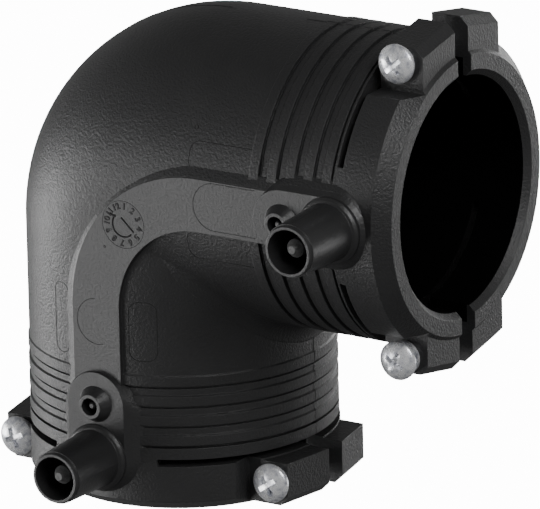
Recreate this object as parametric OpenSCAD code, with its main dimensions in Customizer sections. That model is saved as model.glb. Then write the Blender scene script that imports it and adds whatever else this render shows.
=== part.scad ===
// Electrofusion elbow, 90 degrees, for polyethylene pipe of 50 mm outside diameter.
// The lower socket stands on its mouth at z = 0 and its axis is +Z. The upper socket opens
// towards +X. The contact shrouds point to -Y. Each socket is drawn once, in a frame where
// z is the distance from its mouth, x goes to its clamp lugs and -y to its contact.

/* [Pipe and sockets] */
// Radius of the socket bore
bore_r = 25.2; // [24.8:0.1:25.8]
// Depth of the socket, from its mouth to the pipe stop
socket_depth = 40; // [38:0.5:42]
// Distance from a mouth to the crossing of the two axes
leg_len = 71.7; // [69:0.1:76]
// Thickness of the sockets' wall
wall_t = 7.8; // [7.2:0.1:9.2]
// Height of the pipe stop's step, inside the bore
stop_h = 4.7; // [3.5:0.1:7]
// Radius of the centre line of the bend
bend_centre_r = 14.5; // [12:0.5:18]
// Lead-in chamfer at a mouth
lead_in = 1.5; // [0.8:0.1:1.8]

/* [Grip rings] */
// Distance between two ring grooves
groove_pitch = 4.4; // [4:0.1:4.6]
// Width of a ring groove
groove_w = 0.6; // [0.4:0.05:0.8]
// Depth of a ring groove under the ring's crest
groove_d = 0.8; // [0.5:0.05:1]
// Height of a ring's crest over the barrel
ring_rise = 0.25; // [0.1:0.05:0.35]
// Fall from a ring's crest to the next groove
ring_drop = 0.4; // [0.2:0.05:0.5]
// Width of a ring's crest
crest_w = 2.1; // [1.5:0.1:2.5]
// Width of the slope behind a ring's crest
slope_w = 0.35; // [0.2:0.05:0.6]
// Distance from the mouth to the first groove, lower and upper socket
first_groove = [15.3, 13.3]; // [13.2:0.1:15.5]
// Number of grooves, lower and upper socket
groove_count = [4, 5]; // [3:1:5]

/* [Clamp collar] */
// Height of the collar over the barrel
collar_rise = 0.4; // [0.2:0.1:1.2]
// Fall of the cone from the collar to the mouth's end face, lower and upper socket
nose_drop = [4.9, 3.3]; // [2:0.1:5.2]
// Length of the cone from the end face to the collar
nose_cone = 3.0; // [2:0.1:4]
// Distance from the mouth to the slot behind the collar
slot_u = 11.0; // [10.8:0.1:11.4]
// Width of the slot behind the collar
slot_w = 1.5; // [1:0.1:1.6]
// Half angle of the webs that carry the collar
web_angle = 22.5; // [20:0.5:25]
// Width of the gap between a pair of lugs
gap_w = 5.3; // [4:0.1:6]

/* [Lugs and screws] */
// Height of a lug over the collar, at the gap
lug_rise = 4.6; // [3.5:0.1:6]
// Fall of a lug's back away from the gap, in degrees
lug_fall = 10.5; // [6:0.5:12]
// Distance from the mouth to a lug's end face, lower and upper socket
lug_end = [1.1, 0.7]; // [0.4:0.1:2]
// Clearance between a lug and the slot, lower and upper socket
lug_back = [0.3, 1.5]; // [0.2:0.1:2]
// Chamfer between a lug's end face and its back
lug_chamfer = 1.9; // [1:0.1:2.5]
// Distance from the gap's middle to the screw seat
seat_y = 15.5; // [14.5:0.1:17]
// Distance from the gap's middle to the end of a rear lug
lug_tail_y = 15; // [13:0.1:17]
// Depth of the flat beside a screw head, under the collar
pocket_d = 7.4; // [6.5:0.1:7.6]
// Distance of a screw's axis under the top of its lugs
screw_depth = 5.8; // [5.2:0.1:6.4]
// Distance from the mouth to a screw's axis
screw_u = 6.3; // [5.8:0.1:7]
// Outside radius of a screw's thread
screw_r = 2.0; // [1.75:0.05:2.2]
// Clearance round a screw in its front lug
screw_clear = 0.3; // [0.1:0.05:0.5]
// Radius of a screw's head
head_r = 4.25; // [3.8:0.05:4.5]
// Height of a screw's head
head_h = 2.6; // [2:0.1:3.2]
// Height of the straight edge of a screw's head
head_edge = 0.8; // [0.5:0.1:1.2]
// Distance of a screw's tip from the end of its rear lug
tip_back = 1.0; // [0.5:0.1:2]
// Thickness of a washer
washer_t = 0.8; // [0.5:0.1:1.2]
// Radius of a washer
washer_r = 3.7; // [3.4:0.05:4.6]
// Gap under a head that isn't driven home, upper socket's bottom screw
loose_gap = 1.4; // [0:0.1:1.8]

/* [Contact] */
// Distance from the mouth to the contact's axis
contact_u = 12.3; // [12:0.1:13]
// Height of the shroud over the pad
shroud_h = 16.4; // [14:0.1:20]
// Outside radius of the shroud at its rim
shroud_r = 5.6; // [5.3:0.05:6]
// Outside radius of the shroud at its root
shroud_root_r = 6.3; // [6:0.05:6.8]
// Inside radius of the shroud
shroud_bore_r = 4.75; // [4.4:0.05:4.8]
// Depth of the shroud's hollow
shroud_depth = 14; // [12:0.5:15]
// Radius of the ring round the shroud's foot
foot_r = 7.3; // [7:0.1:7.6]
// Height of the ring round the shroud's foot
foot_h = 1.3; // [0.8:0.1:2]
// Radius of the contact pin
pin_r = 2.0; // [1.9:0.05:2.35]
// Radius of the pin's flat tip
pin_tip_r = 0.85; // [0.6:0.05:1.2]
// Length of the taper behind the pin's tip
pin_taper = 1.6; // [1:0.1:2.5]
// Distance of the pin's tip behind the rim
pin_recess = 1.5; // [1:0.1:4]
// Radius of the pin's anchor flange
pin_flange_r = 3.2; // [3:0.1:3.5]
// Thickness of the pin's anchor flange
pin_flange_t = 1.2; // [0.8:0.1:1.5]

/* [Pad and band] */
// Height of the pad over the barrel
pad_rise = 1.6; // [1.2:0.1:2.2]
// Half width of the pad's face
pad_r = 7.0; // [6.7:0.1:7.5]
// Growth of the pad's half width from its face to its root
pad_flare = 3.9; // [2.5:0.1:4.5]
// Height of the band over the barrel
band_rise = 0.5; // [0.3:0.1:1]
// Half width of the band's face
band_r = 5.85; // [5.5:0.05:6.2]
// Radius of the band's centre line at the bend
band_bend_r = 26; // [24:0.5:28]
// Width of the band's soft outer shoulder
shoulder_w = 2.4; // [1.5:0.1:3]
// Depth of the band's soft outer shoulder
shoulder_d = 1.6; // [1:0.1:2]

/* [Fusion indicator] */
// Distance from the mouth to the indicator's axis
indicator_u = 24.1; // [23.5:0.1:24.5]
// Height of the indicator above the pad
indicator_h = 2.4; // [1.5:0.1:3]
// Outside radius of the indicator at its rim
indicator_r = 2.65; // [2.5:0.05:3]
// Outside radius of the indicator at its root
indicator_root_r = 4.1; // [3.6:0.1:4.4]
// Radius of the indicator's hole
indicator_bore_r = 1.9; // [1.7:0.05:2.1]
// Radius of the indicator's pin
rod_r = 0.8; // [0.6:0.05:1]
// Distance of the indicator pin's tip behind the rim
rod_recess = 0.8; // [0.3:0.1:1.5]

/* [Heating wire] */
// Radius of the wire
wire_r = 0.4; // [0.3:0.05:0.5]
// Material between the bore and the wire
wire_cover = 0.6; // [0.4:0.05:0.8]
// Distance from the mouth to the winding's first turn
winding_u = 15; // [14.5:0.1:16]
// Distance between two turns
winding_pitch = 2.25; // [2:0.05:2.4]
// Number of turns
winding_turns = 8; // [6:1:8]
// Depth of the link wire under the barrel's surface
link_depth = 1.8; // [1.4:0.1:2.2]
// Clearance of a moulded-in piece
embed_gap = 0.03; // [0.01:0.01:0.08]

/* [Hidden] */
$fn = 96;
over = 1;                                        // how far a cutter runs past its work
barrel_r = bore_r + wall_t;
passage_r = bore_r - stop_h;
collar_r = barrel_r + collar_rise;
ring_r = barrel_r + ring_rise;
lug_r = collar_r + lug_rise;
pocket_x = collar_r - pocket_d;
screw_x = lug_r - screw_depth;
pad_y = barrel_r + pad_rise;
band_y = barrel_r + band_rise;
shroud_y = pad_y + shroud_h;
link_y = barrel_r - link_depth;
embed = 3;                                       // how deep pads and bands reach into the wall
embed_y = barrel_r - embed;
sheet = 0.01;                                    // thickness of a hull's end plates
shroud_floor_y = shroud_y - shroud_depth;
pin_root_y = embed_y + 0.6;
winding_r = bore_r + wire_cover + wire_r;
winding_end = winding_u + winding_turns*winding_pitch;
join_depth = 2.5;                                // how far a winding's lead ends under the link wire
lead_join_y = link_y - join_depth;
jog = 5;                                         // half angle of the step from turn to turn
bend_grow = 1.1;                                 // growth of the wire where it is bent sharply
head_dome_r = (pow(head_r, 2) + pow(head_h - head_edge, 2))/(2*(head_h - head_edge));
black = [0.16, 0.16, 0.17];
zinc = [0.78, 0.79, 0.8];
copper = [0.72, 0.45, 0.25];

// Puts a socket's own frame at the lower or the upper socket
module at_lower() { children(); }
module at_upper() { translate([leg_len, 0, leg_len]) rotate([0, -90, 0]) children(); }

// Turns +Z to -Y, the way the contacts and screw heads face
module to_front() { rotate([90, 0, 0]) children(); }

// Outline of a socket's barrel and collar, as radius and distance from the mouth
function ring_points(leg, k) =
    let (from = first_groove[leg] + k*groove_pitch - groove_w/2, to = from + groove_w,
         behind = k < groove_count[leg] - 1 ? ring_r - ring_drop : barrel_r)
    [[ring_r - (k == 0 ? 0 : ring_drop), from], [ring_r - groove_d, from],
     [ring_r - groove_d, to], [ring_r, to],
     [ring_r, to + crest_w], [behind, to + crest_w + slope_w]];

function barrel_outline(leg) =
    concat([[0, 0], [collar_r - nose_drop[leg], 0], [collar_r, nose_cone],
            [collar_r, slot_u + slot_w/2], [ring_r, slot_u + slot_w/2]],
           [for (k = [0:groove_count[leg] - 1]) each ring_points(leg, k)],
           [[barrel_r, leg_len - bend_centre_r], [0, leg_len - bend_centre_r]]);

module barrel(leg) { rotate_extrude() polygon(barrel_outline(leg)); }

// Quarter torus of a round bar, cut off at the axis that it turns about
module bend(r) {
    translate([bend_centre_r, 0, leg_len - bend_centre_r]) rotate([90, 0, 0])
        rotate_extrude(angle = 90, start = 90) intersection() {
            translate([bend_centre_r, 0]) circle(r);
            translate([0, -r]) square([bend_centre_r + r, 2*r]);
        }
}

// Section of the flat band: x is positive on the outer side of the bend, y is its height
function band_section() =
    [[-band_r, embed_y], [-band_r, band_y], [band_r, band_y],
     [band_r + shoulder_w, band_y - shoulder_d], [band_r + shoulder_w, embed_y]];

module band_leg(outer) {
    translate([0, 0, indicator_u]) linear_extrude(leg_len - band_bend_r - indicator_u)
        polygon([for (p = band_section()) [outer*p[0], -p[1]]]);
}

module band_bend() {
    translate([band_bend_r, 0, leg_len - band_bend_r]) rotate([90, 0, 0])
        rotate_extrude(angle = 90, start = 90)
            polygon([for (p = band_section()) [band_bend_r + p[0], p[1]]]);
}

// Pad with flared sides that carries the contact and the indicator, upright at the band's end
module pad_plate(u, y, r) {
    translate([0, 0, u]) to_front() translate([0, 0, y]) cylinder(r = r, h = sheet, $fn = 40);
}

module pad() {
    hull() {
        pad_plate(indicator_u, pad_y - sheet, pad_r);
        pad_plate(contact_u, pad_y - sheet, pad_r);
        pad_plate(indicator_u - pad_flare, embed_y, pad_r + pad_flare);
        pad_plate(contact_u, embed_y, pad_r + pad_flare);
    }
}

module shroud() {
    lip = 0.9;
    step = 0.18;
    translate([0, 0, contact_u]) to_front() rotate_extrude()
        polygon([[0, embed_y], [foot_r, embed_y], [foot_r, pad_y + foot_h*0.35],
                 [foot_r - 0.5, pad_y + foot_h*0.8], [shroud_root_r, pad_y + foot_h],
                 [shroud_r + step, shroud_y - lip], [shroud_r, shroud_y - lip],
                 [shroud_r - 0.25, shroud_y], [0, shroud_y]]);
}

module shroud_hollow() {
    translate([0, 0, contact_u]) to_front() translate([0, 0, shroud_floor_y])
        cylinder(r = shroud_bore_r, h = shroud_depth + over);
}

module indicator() {
    translate([0, 0, indicator_u]) to_front() translate([0, 0, pad_y - 0.2])
        cylinder(r1 = indicator_root_r, r2 = indicator_r, h = indicator_h + 0.2);
}

module indicator_hole() {
    translate([0, 0, indicator_u]) to_front() translate([0, 0, embed_y + 0.5])
        cylinder(r = indicator_bore_r, h = pad_y + indicator_h + over);
}

// One lug, behind the gap, up to a plane across its screw
module lug(leg, to_y) {
    reach = lug_r - bore_r + over;
    top = slot_u - lug_back[leg];
    intersection() {
        translate([lug_r, gap_w/2, 0]) rotate([-90, 0, lug_fall])
            translate([0, 0, -over]) linear_extrude(to_y + over)
                polygon([[-reach, -lug_end[leg]], [-lug_chamfer, -lug_end[leg]],
                         [0, -lug_end[leg] - lug_chamfer], [0, -top], [-reach, -top]]);
        translate([bore_r + over, gap_w/2, 0]) cube([lug_r, to_y - gap_w/2, top]);
    }
}

module lug_pair(leg) {
    lug(leg, lug_tail_y);
    mirror([0, 1, 0]) lug(leg, seat_y);
}

// Room for a screw head beside its lug, and the screw's holes
module screw_pocket() {
    translate([pocket_x, -seat_y - collar_r, -over])
        cube([collar_r, collar_r, slot_u + slot_w/2 + over]);
    translate([screw_x, 0, screw_u]) to_front()
        cylinder(r = screw_r + screw_clear, h = seat_y + over);
    translate([screw_x, over, screw_u]) mirror([0, 1, 0]) to_front()
        cylinder(r = screw_r + embed_gap, h = lug_tail_y);
}

module collar_cuts() {
    for (start = [web_angle - 90, web_angle + 90])
        rotate_extrude(angle = 180 - 2*web_angle, start = start)
            translate([bore_r - over, slot_u]) square([collar_r - bore_r + 2*over, slot_w]);
    for (turn = [0, 1]) mirror([turn, 0, 0]) {
        translate([bore_r - over, -gap_w/2, -over])
            cube([lug_r - bore_r + 2*over, gap_w, slot_u + slot_w/2 + over]);
        screw_pocket();
    }
}

module socket_bore() {
    translate([0, 0, -over]) cylinder(r = bore_r, h = socket_depth + over);
    translate([0, 0, -over])
        cylinder(r1 = bore_r + lead_in + over, r2 = bore_r, h = lead_in + over);
    cylinder(r = passage_r, h = leg_len - bend_centre_r);
}

// The heating wire of one socket, from its contact to its link, grown by a clearance
module turn(u, start, angle, gap) {
    translate([0, 0, u]) rotate_extrude(angle = angle, start = start)
        translate([winding_r, 0]) circle(wire_r + gap, $fn = 24);
}

module winding(gap) {
    bent_r = wire_r*bend_grow + gap;
    overlap = wire_r*0.75;
    jog_x = winding_r*sin(jog);
    jog_y = winding_r*cos(jog);
    jog_len = sqrt(pow(2*jog_x, 2) + pow(winding_pitch, 2));
    jog_tilt = atan2(2*jog_x, winding_pitch);
    turn(winding_u, -90, 180 - jog, gap);
    for (k = [1:winding_turns - 1])
        turn(winding_u + k*winding_pitch, 90 + jog, 360 - 2*jog, gap);
    turn(winding_end, 90 + jog, 180 - jog, gap);
    for (k = [0:winding_turns - 1])
        translate([jog_x, jog_y, winding_u + k*winding_pitch]) rotate([0, -jog_tilt, 0])
            translate([0, 0, -overlap]) cylinder(r = bent_r, h = jog_len + 2*overlap, $fn = 24);
    lead(winding_u, winding_r, pin_root_y, bent_r);
    lead(winding_end, winding_r, lead_join_y, bent_r);
}

module lead(u, from_y, to_y, r) {
    translate([0, 0, u]) to_front() translate([0, 0, from_y])
        cylinder(r = r, h = to_y - from_y, $fn = 24);
}

// The wire through the band, down to each winding's end
module link(gap) {
    at_lower() link_leg(gap);
    at_upper() link_leg(gap);
    translate([band_bend_r, 0, leg_len - band_bend_r]) rotate([90, 0, 0])
        rotate_extrude(angle = 90, start = 90)
            translate([band_bend_r, link_y]) circle(wire_r + gap, $fn = 24);
}

module link_leg(gap) {
    bent_r = wire_r*bend_grow + gap;
    translate([0, -link_y, winding_end])
        cylinder(r = wire_r + gap, h = leg_len - band_bend_r - winding_end, $fn = 24);
    lead(winding_end, lead_join_y, link_y + bent_r, bent_r);
}

module contact_pin(gap) {
    tip = shroud_y - pin_recess;
    translate([0, 0, contact_u]) to_front() rotate_extrude()
        polygon([[0, pin_root_y], [pin_flange_r + gap, pin_root_y],
                 [pin_flange_r + gap, pin_root_y + pin_flange_t + gap],
                 [pin_r + gap, pin_root_y + pin_flange_t + gap],
                 [pin_r + gap, tip - pin_taper], [pin_tip_r + gap, tip], [0, tip]]);
}

module indicator_pin() {
    tip = pad_y + indicator_h - rod_recess;
    foot = embed_y + 0.5;
    translate([0, 0, indicator_u]) to_front() rotate_extrude()
        polygon([[0, foot], [indicator_bore_r - embed_gap, foot],
                 [indicator_bore_r - embed_gap, foot + 1.2], [rod_r, foot + 1.6],
                 [rod_r, tip - 0.3], [rod_r*0.6, tip], [0, tip]]);
}

// A pan-head screw, with its washer's seat at the origin and its shank towards -Z
module screw(lift) {
    under = washer_t + lift;
    length = seat_y + lug_tail_y - tip_back;
    intersection() {
        translate([0, 0, under]) cylinder(r = head_r, h = head_h);
        translate([0, 0, under + head_h - head_dome_r]) sphere(head_dome_r);
    }
    translate([0, 0, under + over - length]) cylinder(r = screw_r, h = length - over + 0.2);
    translate([0, 0, under - length]) cylinder(r1 = screw_r*0.45, r2 = screw_r, h = over);
}

module washer() {
    difference() {
        cylinder(r = washer_r, h = washer_t);
        translate([0, 0, -over]) cylinder(r = screw_r + screw_clear, h = washer_t + 2*over);
    }
}

module at_screw(turn) {
    mirror([turn, 0, 0]) translate([screw_x, -seat_y, screw_u]) to_front() children();
}

module socket_outside(leg) {
    barrel(leg);
    band_leg(leg == 0 ? -1 : 1);
    pad();
    shroud();
    indicator();
    for (turn = [0, 1]) mirror([turn, 0, 0]) lug_pair(leg);
}

module socket_inside() {
    socket_bore();
    collar_cuts();
    shroud_hollow();
    indicator_hole();
    contact_pin(embed_gap);
    winding(embed_gap);
}

module elbow_body() {
    color(black) difference() {
        union() {
            at_lower() socket_outside(0);
            at_upper() socket_outside(1);
            bend(barrel_r);
            band_bend();
        }
        at_lower() socket_inside();
        at_upper() socket_inside();
        bend(passage_r);
        link(embed_gap);
    }
}

module contact_pin_lower() { color(zinc) at_lower() contact_pin(0); }
module contact_pin_upper() { color(zinc) at_upper() contact_pin(0); }
module indicator_pin_lower() { color(zinc) at_lower() indicator_pin(); }
module indicator_pin_upper() { color(zinc) at_upper() indicator_pin(); }
module winding_lower() { color(copper) at_lower() winding(0); }
module winding_upper() { color(copper) at_upper() winding(0); }
module link_wire() { color(copper) link(0); }
module clamp_screw_lower_left() { color(zinc) at_lower() at_screw(1) screw(0); }
module clamp_screw_lower_right() { color(zinc) at_lower() at_screw(0) screw(0); }
module clamp_screw_upper_bottom() { color(zinc) at_upper() at_screw(1) screw(loose_gap); }
module clamp_screw_upper_top() { color(zinc) at_upper() at_screw(0) screw(0); }
module clamp_washer_lower_left() { color(zinc) at_lower() at_screw(1) washer(); }
module clamp_washer_lower_right() { color(zinc) at_lower() at_screw(0) washer(); }
module clamp_washer_upper_bottom() { color(zinc) at_upper() at_screw(1) washer(); }
module clamp_washer_upper_top() { color(zinc) at_upper() at_screw(0) washer(); }

elbow_body();
contact_pin_lower();
contact_pin_upper();
indicator_pin_lower();
indicator_pin_upper();
winding_lower();
winding_upper();
link_wire();
clamp_screw_lower_left();
clamp_screw_lower_right();
clamp_screw_upper_bottom();
clamp_screw_upper_top();
clamp_washer_lower_left();
clamp_washer_lower_right();
clamp_washer_upper_bottom();
clamp_washer_upper_top();
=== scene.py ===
import bpy
import bmesh
import math
from mathutils import Matrix, Vector


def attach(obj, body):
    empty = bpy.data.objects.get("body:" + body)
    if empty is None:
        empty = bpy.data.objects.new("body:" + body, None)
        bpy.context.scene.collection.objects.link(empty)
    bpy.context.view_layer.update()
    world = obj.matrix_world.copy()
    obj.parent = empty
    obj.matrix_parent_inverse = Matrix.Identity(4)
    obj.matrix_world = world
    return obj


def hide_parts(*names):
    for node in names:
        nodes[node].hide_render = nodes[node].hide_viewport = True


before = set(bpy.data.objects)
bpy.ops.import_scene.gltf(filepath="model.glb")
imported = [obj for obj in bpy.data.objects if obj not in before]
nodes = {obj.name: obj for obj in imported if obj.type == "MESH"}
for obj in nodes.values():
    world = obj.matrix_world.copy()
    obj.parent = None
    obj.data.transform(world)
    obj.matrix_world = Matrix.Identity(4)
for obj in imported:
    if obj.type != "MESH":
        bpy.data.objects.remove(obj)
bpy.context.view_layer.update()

mm = 0.001
sharpFrom = 30  # degrees, for the added pieces

# Sizes that the pieces take from the moulding, in mm
elbowSet = {
    "legLength": 71.7,
    "bendCentre": 14.5,  # of the bend's axis, from either socket's axis
    "barrelRadius": 33.0,
    "ringRadius": 33.25,
    "boreRadius": 25.2,
    "bandFace": 33.5,
    "padFace": 34.6,
    "screwAxis": 32.2,  # from a socket's axis
    "screwFromMouth": 6.3,
    "screwSeat": 15.5,
}


# Camera, as fitted to the photograph
cameraSet = {
    "azimuth": 32.6,
    "elevation": 17.92,
    "roll": 1.258,
    "target": (22.54, 0.0, 51.0),
    "distance": 2028.0,
    "sensorWidth": 36.0,
    "focalLength": 635.9,
}


def viewAxes(settings):
    az = math.radians(settings["azimuth"])
    el = math.radians(settings["elevation"])
    back = Vector((math.sin(az)*math.cos(el), -math.cos(az)*math.cos(el), math.sin(el)))
    right = Vector((math.cos(az), math.sin(az), 0))
    return right, back.cross(right), back


def makeCamera(settings):
    right, up, back = viewAxes(settings)
    turn = Matrix.Rotation(math.radians(-settings["roll"]), 3, back)
    right, up = turn @ right, turn @ up
    data = bpy.data.cameras.new("photoCamera")
    data.sensor_width = settings["sensorWidth"]
    data.lens = settings["focalLength"]
    data.clip_end = 20
    camera = bpy.data.objects.new("photoCamera", data)
    bpy.context.scene.collection.objects.link(camera)
    place = Vector(settings["target"])*mm + back*settings["distance"]*mm
    axes = Matrix((right, up, back)).transposed().to_4x4()
    camera.matrix_world = Matrix.Translation(place) @ axes
    bpy.context.scene.camera = camera


makeCamera(cameraSet)
print("camera placed")

# Studio: soft boxes beside the object, placed as seen from the camera
studioSet = {
    "aim": (22.0, 0.0, 50.0),
    "boxes": {  # right of the object, towards the camera, up, width, height, watts
        "keyBox": (-640, -250, -130, 420, 240, 2.9),
        "rimBox": (420, -560, -20, 260, 300, 1.6),
        "faceBox": (640, -240, -120, 200, 240, 0.45),
        "bandBox": (-640, 250, -120, 240, 520, 1.9),
        "frontBox": (280, 480, 430, 300, 300, 2.6),
    },
    "sky": (0.08, 0.26, 0.07),  # light from below, from the sides and from above
    "bowlRadius": 2600.0,
    "bowlBend": 900.0,  # radius between the floor and its wall
    "bowlHeight": 3600.0,
    "bowlSteps": 12,
    "bowlRows": 96,
    "bowlPaint": 0.85,
    "bowlRoughness": 0.9,
    "bowlGlow": 14.0,
    "floorGap": 0.05,
}


def makeBox(name, settings, box):
    right, up, back = viewAxes(cameraSet)
    flat = Vector((back.x, back.y, 0)).normalized()
    data = bpy.data.lights.new(name, "AREA")
    data.shape = "RECTANGLE"
    data.size = box[3]*mm
    data.size_y = box[4]*mm
    data.energy = box[5]
    light = bpy.data.objects.new(name, data)
    bpy.context.scene.collection.objects.link(light)
    aim = Vector(settings["aim"])*mm
    place = aim + (right*box[0] + flat*box[1] + Vector((0, 0, box[2])))*mm
    turn = (aim - place).to_track_quat("-Z", "Y").to_matrix().to_4x4()
    light.matrix_world = Matrix.Translation(place) @ turn


def makeWorld(settings):
    world = bpy.data.worlds.new("studio")
    bpy.context.scene.world = world
    world.use_nodes = True
    tree = world.node_tree
    glow = tree.nodes["Background"]
    glow.inputs["Color"].default_value = (1, 1, 1, 1)
    place = tree.nodes.new("ShaderNodeTexCoord")
    split = tree.nodes.new("ShaderNodeSeparateXYZ")
    ramp = tree.nodes.new("ShaderNodeFloatCurve")
    spread = tree.nodes.new("ShaderNodeMapRange")
    spread.inputs["From Min"].default_value = -1
    curve = ramp.mapping.curves[0]
    below, level, above = settings["sky"]
    curve.points[0].location = (0, below)
    curve.points[1].location = (1, above)
    curve.points.new(0.5, level)
    ramp.mapping.update()
    tree.links.new(place.outputs["Generated"], split.inputs[0])
    tree.links.new(split.outputs[2], spread.inputs["Value"])
    tree.links.new(spread.outputs["Result"], ramp.inputs["Value"])
    tree.links.new(ramp.outputs[0], glow.inputs["Strength"])


def makeFloor(settings):
    floorRadius, bend = settings["bowlRadius"], settings["bowlBend"]
    steps, rows = settings["bowlSteps"], settings["bowlRows"]
    profile = [(floorRadius, 0)]
    for step in range(1, steps + 1):
        a = math.radians(90*step/steps)
        profile.append((floorRadius + bend*math.sin(a), bend*(1 - math.cos(a))))
    profile.append((floorRadius + bend, settings["bowlHeight"]))
    bm = bmesh.new()
    rings = []
    for r, z in profile:
        height = (z - settings["floorGap"])*mm
        rings.append([bm.verts.new((r*math.cos(k*math.tau/rows)*mm, r*math.sin(k*math.tau/rows)*mm, height))
                      for k in range(rows)])
    bm.faces.new(rings[0])
    for low, high in zip(rings, rings[1:]):
        for k in range(rows):
            bm.faces.new((low[k], low[(k + 1) % rows], high[(k + 1) % rows], high[k]))
    mesh = bpy.data.meshes.new("paleFloor")
    bm.to_mesh(mesh)
    bm.free()
    for face in mesh.polygons:
        face.use_smooth = True
    floor = bpy.data.objects.new("paleFloor", mesh)
    bpy.context.scene.collection.objects.link(floor)
    paint = bpy.data.materials.new("paleFloorPaint")
    paint.use_nodes = True
    shader = paint.node_tree.nodes["Principled BSDF"]
    shader.inputs["Base Color"].default_value = (*[settings["bowlPaint"]]*3, 1)
    shader.inputs["Roughness"].default_value = settings["bowlRoughness"]
    shader.inputs["Emission Color"].default_value = (1, 1, 1, 1)
    shader.inputs["Emission Strength"].default_value = settings["bowlGlow"]
    mesh.materials.append(paint)
    # The floor glows as white as the photo's paper, and throws none of that on the object
    floor.visible_diffuse = False
    floor.visible_glossy = False
    floor.visible_shadow = False


for boxName, box in studioSet["boxes"].items():
    makeBox(boxName, studioSet, box)
makeWorld(studioSet)
makeFloor(studioSet)
print("studio lit")


# Materials
class NodeSheet:
    # A small helper that adds and joins a material's nodes
    def __init__(self, name):
        self.material = bpy.data.materials.new(name)
        self.material.use_nodes = True
        self.tree = self.material.node_tree
        self.shader = self.tree.nodes["Principled BSDF"]

    def add(self, kind, **values):
        node = self.tree.nodes.new(kind)
        for key, value in values.items():
            setattr(node, key, value)
        return node

    def join(self, source, target):
        self.tree.links.new(source, target)

    def place(self):
        return self.add("ShaderNodeTexCoord").outputs["Object"]

    def math(self, operation, first, second=None):
        node = self.add("ShaderNodeMath", operation=operation)
        for socket, value in zip(node.inputs, (first, second)):
            if value is None:
                continue
            if isinstance(value, (int, float)):
                socket.default_value = value
            else:
                self.join(value, socket)
        return node.outputs[0]

    def noise(self, where, size, detail=3.0, rough=0.5):
        node = self.add("ShaderNodeTexNoise")
        self.join(where, node.inputs["Vector"])
        node.inputs["Scale"].default_value = 1/(size*mm)
        node.inputs["Detail"].default_value = detail
        node.inputs["Roughness"].default_value = rough
        return node.outputs["Fac"]

    def spread(self, value, low, high, toLow, toHigh):
        node = self.add("ShaderNodeMapRange")
        self.join(value, node.inputs["Value"])
        for key, number in zip(("From Min", "From Max", "To Min", "To Max"), (low, high, toLow, toHigh)):
            node.inputs[key].default_value = number
        return node.outputs["Result"]

    def blend(self, factor, first, second):
        node = self.add("ShaderNodeMix", data_type="RGBA")
        self.join(factor, node.inputs["Factor"])
        for key, value in ((6, first), (7, second)):
            if isinstance(value, tuple):
                node.inputs[key].default_value = (*value, 1)
            else:
                self.join(value, node.inputs[key])
        return node.outputs[2]

    def bump(self, height, strength, depth, normal=None):
        node = self.add("ShaderNodeBump")
        node.inputs["Strength"].default_value = strength
        node.inputs["Distance"].default_value = depth*mm
        self.join(height, node.inputs["Height"])
        if normal is not None:
            self.join(normal, node.inputs["Normal"])
        return node.outputs["Normal"]


blackSet = {
    "deep": (0.017, 0.017, 0.0175),
    "pale": (0.025, 0.025, 0.0255),
    # lighter edge colour: partly wear, partly a painted highlight
    "edgeWearAndHighlight": (0.036, 0.036, 0.037),
    # painted shade: near-black colour for the inside of the sockets
    "bore": (0.0015, 0.0015, 0.0015),
    "flowSize": 28.0,  # of the clouds in the colour
    "flowRamp": (0.3, 0.7, 0.0, 1.0),
    "flowStrength": 0.25,
    "flowDepth": 0.35,
    "speckSize": 0.9,
    "speckRamp": (0.62, 0.78, 0.0, 0.5),
    "softEdge": 0.22,
    "edgeRamp": (0.985, 0.80, 0.0, 1.0),
    "edgeWearAndHighlightRamp": (0.35, 0.6, 0.35, 1.0),
    "grainSize": 0.55,
    "grainDepth": 0.2,
    "grainStrength": 0.8,
    "roughRamp": (0.3, 0.7, 0.40, 0.50),
    "bandSmoother": 0.06,
    "bandGrainLess": 0.6,
    "bandMargin": 0.2,
    "padSmoother": 0.04,
    "padMargin": 1.5,
    "boreRougher": 0.3,
    "specular": 0.5,
    "boreSpecularLess": 0.47,
    "boreMargin": 0.15,
    "lowerBoreTop": 60.0,
    "upperBoreEnd": 12.0,
    "lipDepth": 2.0,
    "slotReach": 4.0,  # of the collar's slot walls, out from the bore
}


def boreMask(sheet, x, y, z, settings):
    # Where painted shade goes: inside of both sockets, and the collars' slot walls behind the mouths' lips
    leg, lip = elbowSet["legLength"], settings["lipDepth"]
    upper = sheet.math("SUBTRACT", z, leg*mm)
    sockets = (
        (x, y, z, "LESS_THAN", settings["lowerBoreTop"], "GREATER_THAN", lip),
        (y, upper, x, "GREATER_THAN", settings["upperBoreEnd"], "LESS_THAN", leg - lip),
    )
    masks = []
    for first, second, along, inward, inner, outward, mouth in sockets:
        across = sheet.math("SQRT", sheet.math("ADD", sheet.math("MULTIPLY", first, first),
                                               sheet.math("MULTIPLY", second, second)))
        near = sheet.math("LESS_THAN", across, (elbowSet["boreRadius"] + settings["boreMargin"])*mm)
        wall = sheet.math("LESS_THAN", across, (elbowSet["boreRadius"] + settings["slotReach"])*mm)
        deep = sheet.math(inward, along, inner*mm)
        behind = sheet.math(outward, along, mouth*mm)
        masks.append(sheet.math("MULTIPLY", near, deep))
        masks.append(sheet.math("MULTIPLY", sheet.math("MULTIPLY", wall, behind), deep))
    whole = masks[0]
    for mask in masks[1:]:
        whole = sheet.math("MAXIMUM", whole, mask)
    return whole


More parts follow.
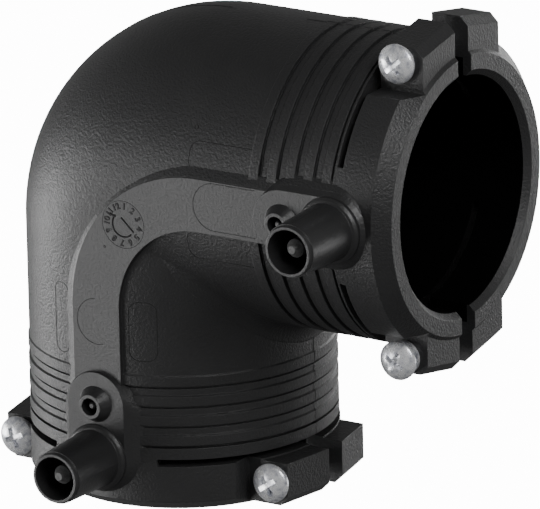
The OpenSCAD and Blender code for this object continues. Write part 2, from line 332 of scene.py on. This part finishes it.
def makeBlack(name, settings):
    sheet = NodeSheet(name)
    where = sheet.place()
    split = sheet.add("ShaderNodeSeparateXYZ")
    sheet.join(where, split.inputs[0])
    x, y, z = split.outputs
    # Band, pads and shrouds are smooth, the barrels keep the mould's grain
    smooth = sheet.math("LESS_THAN", y, -(elbowSet["bandFace"] - settings["bandMargin"])*mm)
    glossy = sheet.math("LESS_THAN", y, -(elbowSet["padFace"] + settings["padMargin"])*mm)
    paintedShadeInBore = boreMask(sheet, x, y, z, settings)
    bevel = sheet.add("ShaderNodeBevel", samples=4)
    bevel.inputs["Radius"].default_value = settings["softEdge"]*mm
    geometry = sheet.add("ShaderNodeNewGeometry")
    turned = sheet.add("ShaderNodeVectorMath", operation="DOT_PRODUCT")
    sheet.join(bevel.outputs["Normal"], turned.inputs[0])
    sheet.join(geometry.outputs["Normal"], turned.inputs[1])
    edge = sheet.spread(turned.outputs["Value"], *settings["edgeRamp"])
    flow = sheet.noise(where, settings["flowSize"], 4.0, 0.6)
    cloud = sheet.blend(sheet.spread(flow, *settings["flowRamp"]), settings["deep"], settings["pale"])
    speck = sheet.spread(sheet.noise(where, settings["speckSize"], 6.0, 0.7), *settings["speckRamp"])
    # Edges where the bevel turns the normal get a lighter colour: partly wear along the edges, partly a
    # painted highlight where they catch the light
    edgeWearAndHighlight = sheet.math("MULTIPLY", edge, sheet.spread(flow, *settings["edgeWearAndHighlightRamp"]))
    colour = sheet.blend(sheet.math("MAXIMUM", edgeWearAndHighlight, speck), cloud, settings["edgeWearAndHighlight"])
    # Painted shade: the bores and slot walls get a near-black colour, more roughness and less specular,
    # standing in for the shade deep inside the sockets
    colour = sheet.blend(paintedShadeInBore, colour, settings["bore"])
    sheet.join(colour, sheet.shader.inputs["Base Color"])
    grain = sheet.noise(where, settings["grainSize"], 2.0, 0.55)
    rough = sheet.spread(grain, *settings["roughRamp"])
    rough = sheet.math("SUBTRACT", rough, sheet.math("MULTIPLY", smooth, settings["bandSmoother"]))
    rough = sheet.math("SUBTRACT", rough, sheet.math("MULTIPLY", glossy, settings["padSmoother"]))
    rough = sheet.math("ADD", rough, sheet.math("MULTIPLY", paintedShadeInBore, settings["boreRougher"]))
    sheet.join(rough, sheet.shader.inputs["Roughness"])
    keep = sheet.math("SUBTRACT", 1.0, sheet.math("MULTIPLY", smooth, settings["bandGrainLess"]))
    grain = sheet.math("MULTIPLY", grain, keep)
    wavy = sheet.bump(flow, settings["flowStrength"], settings["flowDepth"], bevel.outputs["Normal"])
    rippled = sheet.bump(grain, settings["grainStrength"], settings["grainDepth"], wavy)
    sheet.join(rippled, sheet.shader.inputs["Normal"])
    shine = sheet.math("SUBTRACT", settings["specular"],
                       sheet.math("MULTIPLY", paintedShadeInBore, settings["boreSpecularLess"]))
    sheet.join(shine, sheet.shader.inputs["Specular IOR Level"])
    return sheet.material


# What all plated pieces share; the two settings after it differ in tone. The pins' dark grey is partly the
# dull tin's own tone and partly painted shade from inside the shrouds
platingSet = {
    "patchRamp": (0.45, 0.68, 0.0, 1.0),
    "smoothest": 0.06,  # below a finish's roughness
    "roughest": 0.12,  # above it
    "dentStrength": 0.35,
    "dentDepth": 0.08,
    "fineSize": 0.12,
    "fineStrength": 0.25,
    "fineDepth": 0.01,
}
zincSet = {
    "bright": (0.95, 0.955, 0.97),
    "dull": (0.42, 0.43, 0.49),
    "streakSize": 1.3,
    "roughness": 0.27,
    "metallic": 0.6,
}
pinToneAndShadeSet = {
    # dark grey: partly dull tin, partly painted shade inside the shrouds
    "bright": (0.16, 0.16, 0.16),
    "dull": (0.09, 0.09, 0.09),
    "streakSize": 0.7,
    "roughness": 0.6,
    "metallic": 0.3,
}


def makeZinc(name, settings, plating):
    roughness = settings["roughness"]
    sheet = NodeSheet(name)
    where = sheet.place()
    patch = sheet.noise(where, settings["streakSize"], 4.0, 0.6)
    colour = sheet.blend(sheet.spread(patch, *plating["patchRamp"]), settings["bright"], settings["dull"])
    sheet.join(colour, sheet.shader.inputs["Base Color"])
    rough = sheet.spread(patch, 0.3, 0.7, roughness - plating["smoothest"], roughness + plating["roughest"])
    sheet.join(rough, sheet.shader.inputs["Roughness"])
    fine = sheet.noise(where, plating["fineSize"], 2.0, 0.5)
    dents = sheet.bump(patch, plating["dentStrength"], plating["dentDepth"])
    scratches = sheet.bump(fine, plating["fineStrength"], plating["fineDepth"], dents)
    sheet.join(scratches, sheet.shader.inputs["Normal"])
    sheet.shader.inputs["Metallic"].default_value = settings["metallic"]
    return sheet.material


wireSet = {
    "bright": (0.80, 0.45, 0.26),
    "dull": (0.42, 0.20, 0.11),
    "tarnishSize": 1.5,
    "tarnishRamp": (0.4, 0.7, 0.0, 1.0),
    "roughRamp": (0.3, 0.7, 0.28, 0.45),
    "fineSize": 0.08,
    "fineStrength": 0.2,
    "fineDepth": 0.01,
}


def makeWire(name, settings):
    sheet = NodeSheet(name)
    where = sheet.place()
    tarnish = sheet.noise(where, settings["tarnishSize"], 5.0, 0.6)
    share = sheet.spread(tarnish, *settings["tarnishRamp"])
    colour = sheet.blend(share, settings["bright"], settings["dull"])
    sheet.join(colour, sheet.shader.inputs["Base Color"])
    sheet.join(sheet.spread(tarnish, *settings["roughRamp"]), sheet.shader.inputs["Roughness"])
    fine = sheet.noise(where, settings["fineSize"], 2.0)
    scratches = sheet.bump(fine, settings["fineStrength"], settings["fineDepth"])
    sheet.join(scratches, sheet.shader.inputs["Normal"])
    sheet.shader.inputs["Metallic"].default_value = 1.0
    return sheet.material


blackPolyethylene = makeBlack("blackPolyethylene", blackSet)
brightZinc = makeZinc("brightZinc", zincSet, platingSet)
platedPinWithShade = makeZinc("platedPinWithShade", pinToneAndShadeSet, platingSet)
heatingWire = makeWire("heatingWire", wireSet)

for name, node in nodes.items():
    node.data.materials.clear()
    if name == "elbow_body" or name.startswith("indicator"):
        node.data.materials.append(blackPolyethylene)
    elif name.startswith("winding") or name == "link_wire":
        node.data.materials.append(heatingWire)
    elif name.startswith("contact"):
        node.data.materials.append(platedPinWithShade)
    else:
        node.data.materials.append(brightZinc)
print("materials on the moulding, pins and wires")


# Helpers for the added pieces
def socketPlace(leg):
    # From a socket's own frame: x towards its lugs, z from its mouth
    if leg == 0:
        return Matrix.Identity(4)
    corner = Vector((elbowSet["legLength"], 0, elbowSet["legLength"]))*mm
    return Matrix.Translation(corner) @ Matrix.Rotation(math.radians(-90), 4, "Y")


def newPiece(name, mesh):
    piece = bpy.data.objects.new(name, mesh)
    bpy.context.scene.collection.objects.link(piece)
    return piece


def meshFrom(name, points, faces=(), edges=()):
    mesh = bpy.data.meshes.new(name)
    mesh.from_pydata([Vector(p)*mm for p in points], edges, faces)
    return mesh


def tidyNormals(mesh, sharp):
    bm = bmesh.new()
    bm.from_mesh(mesh)
    bmesh.ops.remove_doubles(bm, verts=bm.verts, dist=1e-6)
    bmesh.ops.recalc_face_normals(bm, faces=bm.faces)
    for face in bm.faces:
        face.smooth = True
    for edge in bm.edges:
        if len(edge.link_faces) == 2:
            edge.smooth = edge.calc_face_angle() < math.radians(sharp)
    bm.to_mesh(mesh)
    bm.free()


def startTree(name, sizes):
    tree = bpy.data.node_groups.new(name, "GeometryNodeTree")
    face = tree.interface
    face.new_socket("Geometry", in_out="INPUT", socket_type="NodeSocketGeometry")
    for key in sizes:
        face.new_socket(key, in_out="INPUT", socket_type="NodeSocketFloat")
    face.new_socket("Finish", in_out="INPUT", socket_type="NodeSocketMaterial")
    face.new_socket("Geometry", in_out="OUTPUT", socket_type="NodeSocketGeometry")
    return tree, tree.nodes.new("NodeGroupInput"), tree.nodes.new("NodeGroupOutput")


def closeTree(tree, start, end, geometry):
    # Every tree ends in Realize Instances and Set Material
    real = tree.nodes.new("GeometryNodeRealizeInstances")
    paint = tree.nodes.new("GeometryNodeSetMaterial")
    tree.links.new(geometry, real.inputs[0])
    tree.links.new(real.outputs[0], paint.inputs["Geometry"])
    tree.links.new(start.outputs["Finish"], paint.inputs["Material"])
    tree.links.new(paint.outputs[0], end.inputs[0])


def runTree(piece, tree, sizes, finish):
    modifier = piece.modifiers.new("shape", "NODES")
    modifier.node_group = tree
    for item in tree.interface.items_tree:
        if item.in_out == "INPUT" and item.name in sizes:
            modifier[item.identifier] = sizes[item.name]*mm
        elif item.in_out == "INPUT" and item.name == "Finish":
            modifier[item.identifier] = finish
    graph = bpy.context.evaluated_depsgraph_get()
    mesh = bpy.data.meshes.new_from_object(piece.evaluated_get(graph), depsgraph=graph)
    piece.modifiers.clear()
    piece.data = mesh
    if not mesh.materials:
        mesh.materials.append(finish)


# Clamp screws: pan heads with a cross recess, on a threaded shank
screwSet = {
    "headRadius": 4.25,
    "headHeight": 2.6,
    "headEdge": 0.8,
    "domeRings": 10,
    "around": 48,
    "rimSoft": 0.06,
    "rimFlank": 0.1,
    "rimUnder": 0.2,
    "shankLength": 29.5,
    "shankSides": 32,
    "tipShare": 0.35,
    "threadRadius": 2.0,
    "threadSteps": 24,
    "threadSides": 4,
    "coreRadius": 1.45,
    "pitch": 1.7,
    "recessReach": 2.5,
    "recessDepth": 1.9,
    "recessWidth": 1.15,
    "recessRise": 0.4,  # of the cutter, above the head
    "recessScale": (0.5, 1.15),  # at the recess's floor and at the cutter's top
    "recessDraft": 0.25,
    "cornerTurn": 45,
    "cornerReach": 0.85,
    "cornerWidth": 1.7,
    "washer": 0.8,
    "places": {  # socket, side, gap under the head, turn of the recess
        "clamp_screw_lower_left": (0, -1, 0.0, 24),
        "clamp_screw_lower_right": (0, 1, 0.0, 33),
        "clamp_screw_upper_bottom": (1, -1, 1.4, 62),
        "clamp_screw_upper_top": (1, 1, 0.0, 40),
    },
}


def headMesh(settings):
    r, h, edge = settings["headRadius"], settings["headHeight"], settings["headEdge"]
    rings, around = settings["domeRings"], settings["around"]
    dome = (r*r + (h - edge)**2)/(2*(h - edge))
    soft, under = settings["rimSoft"], settings["rimUnder"]
    widest = math.asin(r/dome)
    outline = []
    for k in range(1, rings):
        a = widest*k/rings
        outline.append((dome*math.sin(a), h - dome + dome*math.cos(a)))
    outline += [(r - soft, edge + soft), (r, edge - settings["rimFlank"]), (r, under), (r - under, 0)]
    points = [(0, 0, h)]
    for radius, z in outline:
        points += [(radius*math.cos(k*math.tau/around), radius*math.sin(k*math.tau/around), z)
                   for k in range(around)]
    points.append((0, 0, 0))
    faces = [(0, 1 + k, 1 + (k + 1) % around) for k in range(around)]
    for ring in range(len(outline) - 1):
        low, high = 1 + ring*around, 1 + (ring + 1)*around
        for k in range(around):
            after = (k + 1) % around
            faces.append((low + k, high + k, high + after, low + after))
    last = 1 + (len(outline) - 1)*around
    faces += [(last + k, len(points) - 1, last + (k + 1) % around) for k in range(around)]
    return meshFrom("panHead", points, faces)


def recessCutter(settings, turn, reach, width):
    # A tapered bar, wider at the top of the head than at the recess's floor
    draft, height = settings["recessDraft"], settings["headHeight"]
    levels = (height - settings["recessDepth"], height + settings["recessRise"])
    points = []
    for z, scale in zip(levels, settings["recessScale"]):
        for a, b in ((-1, -1), (1, -1), (1, 1), (-1, 1)):
            x, y = a*reach*scale, b*width*0.5*(1 - draft + draft*scale)
            points.append((x*math.cos(turn) - y*math.sin(turn), x*math.sin(turn) + y*math.cos(turn), z))
    faces = [(3, 2, 1, 0), (4, 5, 6, 7), (0, 1, 5, 4), (1, 2, 6, 5), (2, 3, 7, 6), (3, 0, 4, 7)]
    return newPiece("recessCutter", meshFrom("recessCutter", points, faces))


def clampScrewTree(settings):
    sizes = ("Core Radius", "Thread Reach", "Shank Length", "Tip Length", "Pitch")
    tree, start, end = startTree("clampScrewTree", sizes)

    def add(kind, **values):
        node = tree.nodes.new(kind)
        for key, value in values.items():
            setattr(node, key, value)
        return node

    def work(operation, first, second):
        node = add("ShaderNodeMath", operation=operation)
        for socket, value in zip(node.inputs, (first, second)):
            if isinstance(value, (int, float)):
                socket.default_value = value
            else:
                tree.links.new(value, socket)
        return node.outputs[0]

    def lifted(geometry, height):
        place = add("ShaderNodeCombineXYZ")
        move = add("GeometryNodeTransform")
        tree.links.new(height, place.inputs["Z"])
        tree.links.new(place.outputs[0], move.inputs["Translation"])
        tree.links.new(geometry, move.inputs["Geometry"])
        return move.outputs[0]

    core, length = start.outputs["Core Radius"], start.outputs["Shank Length"]
    tipLength = start.outputs["Tip Length"]
    plain = work("SUBTRACT", length, tipLength)
    shank = add("GeometryNodeMeshCylinder")
    shank.inputs["Vertices"].default_value = settings["shankSides"]
    tree.links.new(core, shank.inputs["Radius"])
    tree.links.new(plain, shank.inputs["Depth"])
    tip = add("GeometryNodeMeshCone")
    tip.inputs["Vertices"].default_value = settings["shankSides"]
    tree.links.new(work("MULTIPLY", core, settings["tipShare"]), tip.inputs["Radius Bottom"])
    tree.links.new(core, tip.inputs["Radius Top"])
    tree.links.new(tipLength, tip.inputs["Depth"])
    thread = add("GeometryNodeCurveSpiral")
    thread.inputs["Resolution"].default_value = settings["threadSteps"]
    tree.links.new(work("DIVIDE", plain, start.outputs["Pitch"]), thread.inputs["Rotations"])
    tree.links.new(core, thread.inputs["Start Radius"])
    tree.links.new(core, thread.inputs["End Radius"])
    tree.links.new(plain, thread.inputs["Height"])
    level = add("GeometryNodeSetCurveNormal")
    level.mode = "Z_UP"
    tree.links.new(thread.outputs[0], level.inputs[0])
    profile = add("GeometryNodeCurvePrimitiveCircle")
    profile.inputs["Resolution"].default_value = settings["threadSides"]
    tree.links.new(start.outputs["Thread Reach"], profile.inputs["Radius"])
    sweep = add("GeometryNodeCurveToMesh")
    sweep.inputs["Fill Caps"].default_value = True
    tree.links.new(level.outputs[0], sweep.inputs["Curve"])
    tree.links.new(profile.outputs[0], sweep.inputs["Profile Curve"])
    parts = add("GeometryNodeJoinGeometry")
    down = work("MULTIPLY", length, -1.0)
    for geometry in (start.outputs["Geometry"],
                     lifted(shank.outputs["Mesh"], work("MULTIPLY", plain, -0.5)),
                     lifted(tip.outputs["Mesh"], down),
                     lifted(sweep.outputs[0], work("ADD", down, tipLength))):
        tree.links.new(geometry, parts.inputs[0])
    closeTree(tree, start, end, parts.outputs[0])
    return tree


def makeScrew(name, tree, settings):
    leg, side, lift, turn = settings["places"][name]
    screw = newPiece(name + "_zinc", headMesh(settings))
    reach, width = settings["recessReach"], settings["recessWidth"]
    bars = ((0, reach, width), (90, reach, width),
            (settings["cornerTurn"], width*settings["cornerReach"], width*settings["cornerWidth"]))
    cutters = [recessCutter(settings, math.radians(turn + more), far, wide) for more, far, wide in bars]
    for cutter in cutters:
        cut = screw.modifiers.new("recess", "BOOLEAN")
        cut.operation = "DIFFERENCE"
        cut.solver = "EXACT"
        cut.object = cutter
    runTree(screw, tree, {
        "Core Radius": settings["coreRadius"],
        "Thread Reach": settings["threadRadius"] - settings["coreRadius"],
        "Shank Length": settings["shankLength"],
        "Tip Length": settings["pitch"],
        "Pitch": settings["pitch"],
    }, brightZinc)
    for cutter in cutters:
        bpy.data.objects.remove(cutter)
    seat = Vector((side*elbowSet["screwAxis"], -elbowSet["screwSeat"], elbowSet["screwFromMouth"]))*mm
    under = Vector((0, 0, settings["washer"] + lift))*mm
    upright = Matrix.Rotation(math.radians(90), 4, "X")
    screw.data.transform(socketPlace(leg) @ Matrix.Translation(seat) @ upright @ Matrix.Translation(under))
    tidyNormals(screw.data, sharpFrom)
    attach(screw, "root")
    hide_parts(name)


screwTree = clampScrewTree(screwSet)
for screwName in screwSet["places"]:
    makeScrew(screwName, screwTree, screwSet)
print("clamp screws made")


# Crook: the soft blend where the two legs meet
crookSet = {
    "radius": 5.0,
    "sunk": 0.3,  # of the hidden edge, below the crease
    "lip": 0.03,  # of both long edges, below the barrels
    "dip": 0.3,
    "dipRows": 5,
    "rows": 64,
    "steps": 10,
}


def makeCrook(settings):
    barrel, leg, r = elbowSet["barrelRadius"], elbowSet["legLength"], settings["radius"]
    reach = barrel + r
    limit = math.acos(elbowSet["bendCentre"]/reach)
    points = []
    for row in range(settings["rows"] + 1):
        t = -limit + 2*limit*row/settings["rows"]
        c, s = math.cos(t), math.sin(t)
        # Centre of a ball that touches both barrels, and its directions to them
        ball = Vector((reach*c, -reach*s, leg - reach*c))
        first, last = Vector((-c, s, 0)), Vector((0, s, c))
        for step in range(settings["steps"] + 1):
            way = first.slerp(last, step/settings["steps"])
            end = step in (0, settings["steps"])
            # Both ends of the blend dive under the bend's skin
            fade = max(0.0, 1 - min(row, settings["rows"] - row)/settings["dipRows"])
            dip = settings["dip"]*fade**2
            points.append(ball + way*(r + dip + (settings["lip"] if end else 0.0)))
        inner = barrel - settings["sunk"]
        points.append(Vector((inner*c, -inner*s, leg - inner*c)))
    size = settings["steps"] + 2
    faces = [tuple(range(size)), tuple(range(len(points) - 1, len(points) - 1 - size, -1))]
    for row in range(settings["rows"]):
        for k in range(size):
            low, high = row*size, (row + 1)*size
            faces.append((low + k, low + (k + 1) % size, high + (k + 1) % size, high + k))
    piece = newPiece("crook_fillet", meshFrom("crook_fillet", points, faces))
    tidyNormals(piece.data, sharpFrom)
    piece.data.materials.append(blackPolyethylene)
    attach(piece, "root")


makeCrook(crookSet)
print("crook blended")


# Witness lines of the mould: parting line, insert plates, date dial, in a near-black painted shade for the
# shadows along their edges
lineSet = {
    # painted shade: near-black, far darker than the moulding
    "deep": (0.002, 0.002, 0.002),
    "pale": (0.007, 0.007, 0.007),
    "dustSize": 1.2,
    "roughRamp": (0.3, 0.7, 0.6, 0.8),
    "dustStrength": 0.2,
    "dustDepth": 0.02,
    "sides": 6,
    "sharpFrom": 70,
}


# Near-black material for the lines and numbers: painted shade, with a little random dust in it
def makeLineBlack(name, settings):
    sheet = NodeSheet(name)
    where = sheet.place()
    dust = sheet.noise(where, settings["dustSize"], 3.0)
    sheet.join(sheet.blend(dust, settings["deep"], settings["pale"]), sheet.shader.inputs["Base Color"])
    sheet.join(sheet.spread(dust, *settings["roughRamp"]), sheet.shader.inputs["Roughness"])
    pitted = sheet.bump(dust, settings["dustStrength"], settings["dustDepth"])
    sheet.join(pitted, sheet.shader.inputs["Normal"])
    return sheet.material


paintedShadeBlack = makeLineBlack("paintedShadeBlack", lineSet)


def witnessLineTree(settings):
    tree, start, end = startTree("witnessLineTree", ("Line Radius",))
    path = tree.nodes.new("GeometryNodeMeshToCurve")
    profile = tree.nodes.new("GeometryNodeCurvePrimitiveCircle")
    profile.inputs["Resolution"].default_value = settings["sides"]
    sweep = tree.nodes.new("GeometryNodeCurveToMesh")
    sweep.inputs["Fill Caps"].default_value = True
    tree.links.new(start.outputs["Geometry"], path.inputs["Mesh"])
    tree.links.new(start.outputs["Line Radius"], profile.inputs["Radius"])
    tree.links.new(path.outputs[0], sweep.inputs["Curve"])
    tree.links.new(profile.outputs[0], sweep.inputs["Profile Curve"])
    closeTree(tree, start, end, sweep.outputs[0])
    return tree


lineTree = witnessLineTree(lineSet)


def sweepLines(name, paths, radius, finish):
    points, edges = [], []
    for path, closed in paths:
        first = len(points)
        points += path
        edges += [(first + k, first + k + 1) for k in range(len(path) - 1)]
        if closed:
            edges.append((len(points) - 1, first))
    piece = newPiece(name, meshFrom(name, points, edges=edges))
    runTree(piece, lineTree, {"Line Radius": radius}, finish)
    tidyNormals(piece.data, lineSet["sharpFrom"])
    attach(piece, "root")


def onBand(x, z):
    return (x, -elbowSet["bandFace"], z)


def onBarrel(leg, across, along, degrees=0.0):
    # across is an arc from the middle of the band, along is the distance from the mouth
    barrel = elbowSet["barrelRadius"]
    angle = math.radians(degrees) + across/barrel
    spot = Vector((barrel*math.sin(angle), -barrel*math.cos(angle), along))
    return tuple((socketPlace(leg) @ (spot*mm))/mm)


def arc(x, z, radius, start, stop, steps):
    return [(x + radius*math.cos(math.radians(start + (stop - start)*k/steps)),
             z + radius*math.sin(math.radians(start + (stop - start)*k/steps))) for k in range(steps + 1)]


def roundedPlate(length, width, corner):
    # Outline of a plate about its middle: along, across
    path = []
    for a, b, start in ((1, 1, 0), (-1, 1, 90), (-1, -1, 180), (1, -1, 270)):
        path += arc(a*(length/2 - corner), b*(width/2 - corner), corner, start, start + 90,
                    markSet["cornerSteps"])
    fine = []
    for first, second in zip(path, path[1:] + path[:1]):
        steps = max(1, int(math.dist(first, second)/markSet["longestStep"]))
        fine += [(first[0] + (second[0] - first[0])*k/steps, first[1] + (second[1] - first[1])*k/steps)
                 for k in range(steps)]
    return fine


markSet = {
    "lineRadius": 0.07,
    "plates": [  # socket, degrees from the band, distance from the mouth, length, width, corner
        (1, -16.5, 40.0, 18.5, 6.6, 2.2),
        (1, 18.0, 39.6, 18.0, 6.4, 2.2),
        (0, 18.2, 40.8, 13.0, 6.2, 2.2),
        (0, -17.6, 41.1, 15.5, 4.2, 1.8),
    ],
    "upperPill": (30.3, 72.0, 5.2, 40.4),
    "lowerPill": (0.3, 42.2, 5.1),
    "gatePoint": (1, 28.4, 48.1, 0.45),
    "ejectorPoint": (2.67, 59.26, 0.22),
    "cornerSteps": 6,
    "longestStep": 1.5,
    "pillSteps": 24,
    "gateSteps": 11,
    "ejectorSteps": 7,
}


def insertLines(settings):
    paths = []
    for leg, degrees, along, length, width, corner in settings["plates"]:
        path = [onBarrel(leg, b, along + a, degrees) for a, b in roundedPlate(length, width, corner)]
        paths.append((path, True))
    x, z, radius, stop = settings["upperPill"]
    turned = arc(x, z, radius, 90, 270, settings["pillSteps"])
    pill = [(stop, z + radius)] + turned + [(stop, z - radius)]
    paths.append(([onBand(*p) for p in pill], False))
    x, z, radius = settings["lowerPill"]
    paths.append(([onBand(*p) for p in arc(x, z, radius, 95, 285, settings["pillSteps"])], False))
    leg, degrees, along, radius = settings["gatePoint"]
    gate = arc(0, 0, radius, 0, 330, settings["gateSteps"])
    paths.append(([onBarrel(leg, a, along + b, degrees) for a, b in gate], True))
    x, z, radius = settings["ejectorPoint"]
    paths.append(([onBand(*p) for p in arc(x, z, radius, 0, 315, settings["ejectorSteps"])], True))
    return paths


sweepLines("insert_lines", insertLines(markSet), markSet["lineRadius"], paintedShadeBlack)

ringSet = {
    "first": (15.3, 13.3),
    "count": (4, 5),
    "pitch": 4.4,
    "groove": 0.6,
    "depth": 0.8,
    "crest": 2.1,
    "drop": 0.4,
    "slope": 0.35,
    "slotEnd": 12.6,
    "bendSteps": 40,
    "lineRadius": 0.08,
}


def barrelEdge(leg, settings):
    # Section of the barrel behind the collar's slot, as radius and distance from the mouth
    ring, barrel = elbowSet["ringRadius"], elbowSet["barrelRadius"]
    points = [(ring, settings["slotEnd"])]
    for k in range(settings["count"][leg]):
        start = settings["first"][leg] + k*settings["pitch"] - settings["groove"]/2
        stop = start + settings["groove"]
        behind = barrel if k == settings["count"][leg] - 1 else ring - settings["drop"]
        points += [(ring if k == 0 else ring - settings["drop"], start), (ring - settings["depth"], start),
                   (ring - settings["depth"], stop), (ring, stop), (ring, stop + settings["crest"]),
                   (behind, stop + settings["crest"] + settings["slope"])]
    return points


def partingLines(settings):
    paths = []
    barrel, leg = elbowSet["barrelRadius"], elbowSet["legLength"]
    centre = elbowSet["bendCentre"]
    straight = leg - centre
    for which in (0, 1):
        edge = barrelEdge(which, settings)
        for side, end in ((1, leg - barrel), (-1, straight)):
            path = [Vector((side*r, 0, u)) for r, u in edge + [(barrel, end)]]
            paths.append(([tuple((socketPlace(which) @ (p*mm))/mm) for p in path], False))
    outer = arc(centre, straight, centre + barrel, 180, 90, settings["bendSteps"])
    paths.append(([(x, 0, z) for x, z in outer], False))
    return paths


sweepLines("parting_lines", partingLines(ringSet), ringSet["lineRadius"], paintedShadeBlack)

dialSet = {
    "middle": (7.5, 64.8),
    "outer": 5.2,
    "inner": 2.7,
    "arrow": ((7.0, 66.3), (10.1, 63.4)),
    "tick": ((4.2, 66.9), (5.6, 66.3)),
    "numbers": 12,
    "numberRing": 4.0,
    "numberHeight": 1.95,
    "turn": 25,
    "bolder": 0.06,
    "raised": 0.08,
    "ringSteps": 47,
    "arrowSteps": 24,
    "ringLine": 0.054,
    "arrowLine": 0.198,
}


def makeDial(settings):
    x, z = settings["middle"]
    ring = [onBand(*p) for p in arc(x, z, settings["outer"], 0, 350, settings["ringSteps"])]
    sweepLines("dial_ring", [(ring, True)], settings["ringLine"], paintedShadeBlack)
    half = [onBand(*p) for p in arc(x, z, settings["inner"], 135, 315, settings["arrowSteps"])]
    strokes = [[onBand(*p) for p in settings[key]] for key in ("arrow", "tick")]
    sweepLines("dial_arrow", [(half, False)] + [(stroke, False) for stroke in strokes],
               settings["arrowLine"], paintedShadeBlack)
    whole = bmesh.new()
    for k in range(1, settings["numbers"] + 1):
        text = bpy.data.curves.new("number", "FONT")
        text.body = str(k)
        text.size = settings["numberHeight"]*mm
        text.align_x = text.align_y = "CENTER"
        text.extrude = settings["raised"]*mm
        text.offset = settings["bolder"]*mm
        holder = newPiece("number", text)
        mesh = bpy.data.meshes.new_from_object(holder.evaluated_get(bpy.context.evaluated_depsgraph_get()))
        turn = math.radians(settings["turn"] - k*360/settings["numbers"])
        spot = Vector((x - settings["numberRing"]*math.sin(turn), -elbowSet["bandFace"],
                       z + settings["numberRing"]*math.cos(turn)))*mm
        mesh.transform(Matrix.Translation(spot) @ Matrix.Rotation(-turn, 4, "Y")
                       @ Matrix.Rotation(math.radians(90), 4, "X"))
        whole.from_mesh(mesh)
        bpy.data.objects.remove(holder)
    mesh = bpy.data.meshes.new("dial_numbers")
    whole.to_mesh(mesh)
    whole.free()
    tidyNormals(mesh, sharpFrom)
    mesh.materials.append(paintedShadeBlack)
    numbers = newPiece("dial_numbers", mesh)
    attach(numbers, "root")


makeDial(dialSet)
print("witness lines and dial made")
